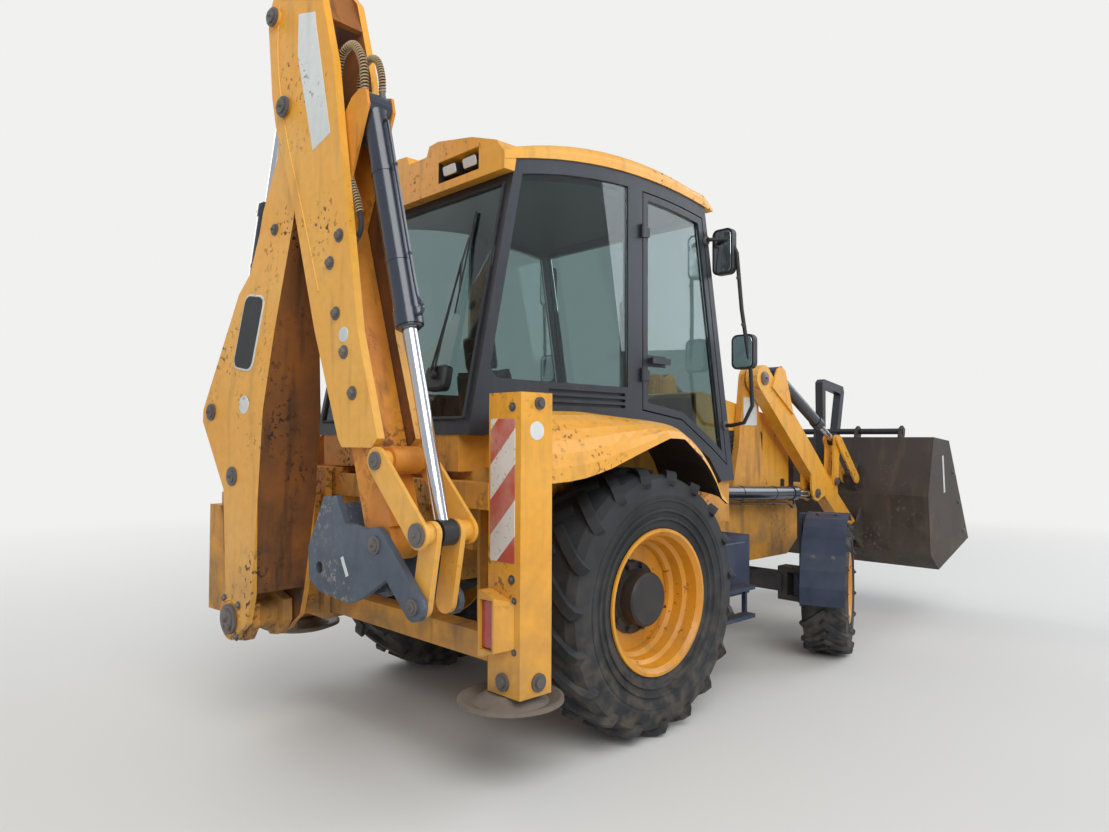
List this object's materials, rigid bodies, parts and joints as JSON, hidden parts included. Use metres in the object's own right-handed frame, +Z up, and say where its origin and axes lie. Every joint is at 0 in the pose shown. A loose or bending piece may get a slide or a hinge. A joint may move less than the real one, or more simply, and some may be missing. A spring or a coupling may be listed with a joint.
{
  "type": "backhoe loader",
  "caption": "Wheeled backhoe loader with side-shift excavator, front loader bucket with fold-over forks, glazed cab, stabiliser legs and quick hitch.",
  "frame": {"origin": "on the ground, in the middle of the machine's length and width as parked", "axes": "+X towards the loader bucket, +Y to the left, +Z up"},
  "size_m": [6.0163, 2.505, 3.8271],
  "materials": {
    "yellow": "gloss paint, worn",
    "dark": "satin",
    "rubber": "dusty rubber",
    "steel": "worn paint",
    "chrome": "polished",
    "glass": "clear tint",
    "rim": "gloss paint",
    "bucket": "worn steel",
    "lamp": "red lens",
    "seat": "woven",
    "plastic": "moulded"
  },
  "bodies": {
    "machine": {"chassis": "yellow", "engine_block": "steel", "rear_axle": "dark", "front_axle": "dark", "rear_frame": "yellow", "tail_lamps": "lamp", "cab_floor": "yellow", "cab_frame": "dark", "cab_glass": "glass", "cab_roof": "yellow", "rear_mudguards": "yellow", "seat": "seat", "console": "plastic", "grille": "dark", "side_boxes": "plastic", "exhaust": "dark", "mirrors": "plastic"},
    "hood": {"hood": "yellow"},
    "door_left": {"door_left": "dark", "door_glass_left": "glass"},
    "door_right": {"door_right": "dark", "door_glass_right": "glass"},
    "wheel_rear_left": {"tyre_rear_left": "rubber", "rim_rear_left": "rim"},
    "wheel_front_left": {"tyre_front_left": "rubber", "rim_front_left": "rim"},
    "knuckle_left": {"knuckle_left": "plastic"},
    "wheel_rear_right": {"tyre_rear_right": "rubber", "rim_rear_right": "rim"},
    "wheel_front_right": {"tyre_front_right": "rubber", "rim_front_right": "rim"},
    "knuckle_right": {"knuckle_right": "plastic"},
    "loader_arms": {"loader_arms": "yellow"},
    "lift_tubes": {"lift_tubes": "dark"},
    "lift_rods": {"lift_rods": "chrome"},
    "tilt_tubes": {"tilt_tubes": "dark"},
    "tilt_rods": {"tilt_rods": "chrome"},
    "tilt_levers": {"tilt_levers": "yellow"},
    "tilt_links": {"tilt_links": "yellow"},
    "loader_bucket": {"loader_bucket": "bucket"},
    "pallet_forks": {"pallet_forks": "dark"},
    "carriage": {"carriage": "yellow"},
    "kingpost": {"kingpost": "yellow"},
    "boom": {"boom": "yellow"},
    "dipper": {"dipper": "yellow"},
    "inner_dipper": {"inner_dipper": "yellow"},
    "hitch": {"hitch": "steel"},
    "tipping_levers": {"tipping_levers": "yellow"},
    "tipping_link": {"tipping_link": "yellow"},
    "boom_ram_tube": {"boom_ram_tube": "dark"},
    "boom_ram_rod": {"boom_ram_rod": "chrome"},
    "dipper_ram_tube": {"dipper_ram_tube": "dark"},
    "dipper_ram_rod": {"dipper_ram_rod": "chrome"},
    "bucket_ram_tube": {"bucket_ram_tube": "dark"},
    "bucket_ram_rod": {"bucket_ram_rod": "chrome"},
    "stabiliser_left": {"stabiliser_left": "yellow"},
    "stabiliser_right": {"stabiliser_right": "yellow"}
  },
  "joints": [
    {"name": "wheel_rear_left", "type": "hinge", "parent": "machine", "child": "wheel_rear_left", "pos_m": [-1.3318, 0.905, 0.705], "axis": [0, 1, 0], "continuous": true},
    {"name": "wheel_rear_right", "type": "hinge", "parent": "machine", "child": "wheel_rear_right", "pos_m": [-1.3318, -0.905, 0.705], "axis": [0, 1, 0], "continuous": true},
    {"name": "steer_left", "type": "hinge", "parent": "machine", "child": "knuckle_left", "pos_m": [0.8382, 0.735, 0.482], "axis": [0, 0, 1], "range_deg": [-57, 13]},
    {"name": "steer_right", "type": "hinge", "parent": "machine", "child": "knuckle_right", "pos_m": [0.8382, -0.735, 0.482], "axis": [0, 0, 1], "range_deg": [-58, 14]},
    {"name": "wheel_front_left", "type": "hinge", "parent": "knuckle_left", "child": "wheel_front_left", "pos_m": [0.7689, 0.90653, 0.482], "axis": [-0.3746, 0.9272, 0], "continuous": true},
    {"name": "wheel_front_right", "type": "hinge", "parent": "knuckle_right", "child": "wheel_front_right", "pos_m": [0.9075, -0.90653, 0.482], "axis": [-0.3746, 0.9272, 0], "continuous": true},
    {"name": "hood_lift", "type": "hinge", "parent": "machine", "child": "hood", "pos_m": [1.2482, 0, 1.622], "axis": [0, 1, 0], "range_deg": [0, 35]},
    {"name": "door_left", "type": "hinge", "parent": "machine", "child": "door_left", "pos_m": [-1.0618, 0.757, 1.9], "axis": [0, 0, 1], "range_deg": [0, 80]},
    {"name": "door_right", "type": "hinge", "parent": "machine", "child": "door_right", "pos_m": [-1.0618, -0.757, 1.9], "axis": [0, 0, -1], "range_deg": [0, 80]},
    {"name": "loader_lift", "type": "hinge", "parent": "machine", "child": "loader_arms", "pos_m": [0.5682, 0, 2.02], "axis": [0, -1, 0], "range_deg": [-12, 75]},
    {"name": "lift_tube_swing", "type": "hinge", "parent": "machine", "child": "lift_tubes", "pos_m": [-0.0318, 0, 1.19], "axis": [0, -1, 0], "range_deg": [-7.21, 42.42]},
    {"name": "lift_rod_slide", "type": "slide", "parent": "lift_tubes", "child": "lift_rods", "axis": [0.9991, 0, -0.0428], "range_m": [-0.1242, 0.7608]},
    {"name": "bucket_tilt", "type": "hinge", "parent": "loader_arms", "child": "loader_bucket", "pos_m": [1.9982, 0, 0.79], "axis": [0, 1, 0], "range_deg": [-10, 55]},
    {"name": "tilt_lever_swing", "type": "hinge", "parent": "loader_arms", "child": "tilt_levers", "pos_m": [1.6982, 0, 1.215], "axis": [0, 1, 0], "range_deg": [-13.49, 71.93]},
    {"name": "tilt_link_swing", "type": "hinge", "parent": "tilt_levers", "child": "tilt_links", "pos_m": [1.7282, 0, 1.56], "axis": [0, 1, 0], "range_deg": [-77.89, 14.57]},
    {"name": "tilt_tube_swing", "type": "hinge", "parent": "loader_arms", "child": "tilt_tubes", "pos_m": [0.7882, 0, 2.07], "axis": [0, 1, 0], "range_deg": [-1.11, 3.84]},
    {"name": "tilt_rod_slide", "type": "slide", "parent": "tilt_tubes", "child": "tilt_rods", "axis": [0.879, 0, -0.4769], "range_m": [-0.0753, 0.4007]},
    {"name": "fork_flip", "type": "hinge", "parent": "loader_bucket", "child": "pallet_forks", "pos_m": [2.2982, 0, 1.64], "axis": [0, 1, 0], "range_deg": [0, 170]},
    {"name": "side_shift", "type": "slide", "parent": "machine", "child": "carriage", "axis": [0, -1, 0], "range_m": [0, 1.4]},
    {"name": "slew", "type": "hinge", "parent": "carriage", "child": "kingpost", "pos_m": [-2.8368, 0.7, 0.9], "axis": [0, 0, -1], "range_deg": [0, 190]},
    {"name": "boom_lower", "type": "hinge", "parent": "kingpost", "child": "boom", "pos_m": [-2.81414, 0.44099, 0.62], "axis": [0.9962, 0.0872, 0], "range_deg": [0, 85]},
    {"name": "boom_tube_swing", "type": "hinge", "parent": "kingpost", "child": "boom_ram_tube", "pos_m": [-2.83419, 0.67011, 0.78], "axis": [0.9962, 0.0872, 0], "range_deg": [0, 74.51]},
    {"name": "boom_rod_slide", "type": "slide", "parent": "boom_ram_tube", "child": "boom_ram_rod", "axis": [0.0321, -0.3672, 0.9296], "range_m": [0, 0.3509]},
    {"name": "dipper_out", "type": "hinge", "parent": "boom", "child": "dipper", "pos_m": [-2.77841, 0.03255, 3.21], "axis": [-0.9962, -0.0872, 0], "range_deg": [0, 110]},
    {"name": "dipper_tube_swing", "type": "hinge", "parent": "boom", "child": "dipper_ram_tube", "pos_m": [-2.83506, 0.68008, 1.7], "axis": [0.9962, 0.0872, 0], "range_deg": [-11.81, 0]},
    {"name": "dipper_rod_slide", "type": "slide", "parent": "dipper_ram_tube", "child": "dipper_ram_rod", "axis": [0.0228, -0.2606, 0.9652], "range_m": [-0.784, 0]},
    {"name": "dipper_extend", "type": "slide", "parent": "dipper", "child": "inner_dipper", "axis": [0.0253, -0.2896, -0.9568], "range_m": [0, 1]},
    {"name": "hitch_open", "type": "hinge", "parent": "inner_dipper", "child": "hitch", "pos_m": [-2.71304, -0.7146, 1.1], "axis": [-0.9962, -0.0872, 0], "range_deg": [0, 100]},
    {"name": "lever_swing", "type": "hinge", "parent": "inner_dipper", "child": "tipping_levers", "pos_m": [-2.70999, -0.74946, 1.465], "axis": [-0.9962, -0.0872, 0], "range_deg": [0, 63.25]},
    {"name": "link_swing", "type": "hinge", "parent": "tipping_levers", "child": "tipping_link", "pos_m": [-2.68559, -1.0284, 1.17], "axis": [0.9962, 0.0872, 0], "range_deg": [0, 106.02]},
    {"name": "bucket_tube_swing", "type": "hinge", "parent": "inner_dipper", "child": "bucket_ram_tube", "pos_m": [-2.73047, -0.51536, 3.1], "axis": [-0.9962, -0.0872, 0], "range_deg": [0, 7.91]},
    {"name": "bucket_rod_slide", "type": "slide", "parent": "bucket_ram_tube", "child": "bucket_ram_rod", "axis": [0.0225, -0.2568, -0.9662], "range_m": [-0.3558, 0]},
    {"name": "stabiliser_left", "type": "slide", "parent": "machine", "child": "stabiliser_left", "axis": [0, 0, -1], "range_m": [0, 0.5]},
    {"name": "stabiliser_right", "type": "slide", "parent": "machine", "child": "stabiliser_right", "axis": [0, 0, -1], "range_m": [0, 0.5]}
  ],
  "couplings": [
    {"joint": "steer_right", "follows": "steer_left", "ratio": 1},
    {"joint": "lift_tube_swing", "follows": "loader_lift", "ratio": 0.55896},
    {"joint": "lift_rod_slide", "follows": "loader_lift", "m_per_rad": 0.57888},
    {"joint": "tilt_lever_swing", "follows": "bucket_tilt", "ratio": 1.2987},
    {"joint": "tilt_link_swing", "follows": "bucket_tilt", "ratio": -1.407},
    {"joint": "tilt_tube_swing", "follows": "bucket_tilt", "ratio": 0.060716},
    {"joint": "tilt_rod_slide", "follows": "bucket_tilt", "m_per_rad": 0.41427},
    {"joint": "boom_tube_swing", "follows": "boom_lower", "ratio": 0.87069},
    {"joint": "boom_rod_slide", "follows": "boom_lower", "m_per_rad": 0.23454},
    {"joint": "dipper_tube_swing", "follows": "dipper_out", "ratio": -0.10282},
    {"joint": "dipper_rod_slide", "follows": "dipper_out", "m_per_rad": -0.40678},
    {"joint": "lever_swing", "follows": "hitch_open", "ratio": 0.62748},
    {"joint": "link_swing", "follows": "hitch_open", "ratio": 1.0552},
    {"joint": "bucket_tube_swing", "follows": "hitch_open", "ratio": 0.074108},
    {"joint": "bucket_rod_slide", "follows": "hitch_open", "m_per_rad": -0.20214}
  ]
}
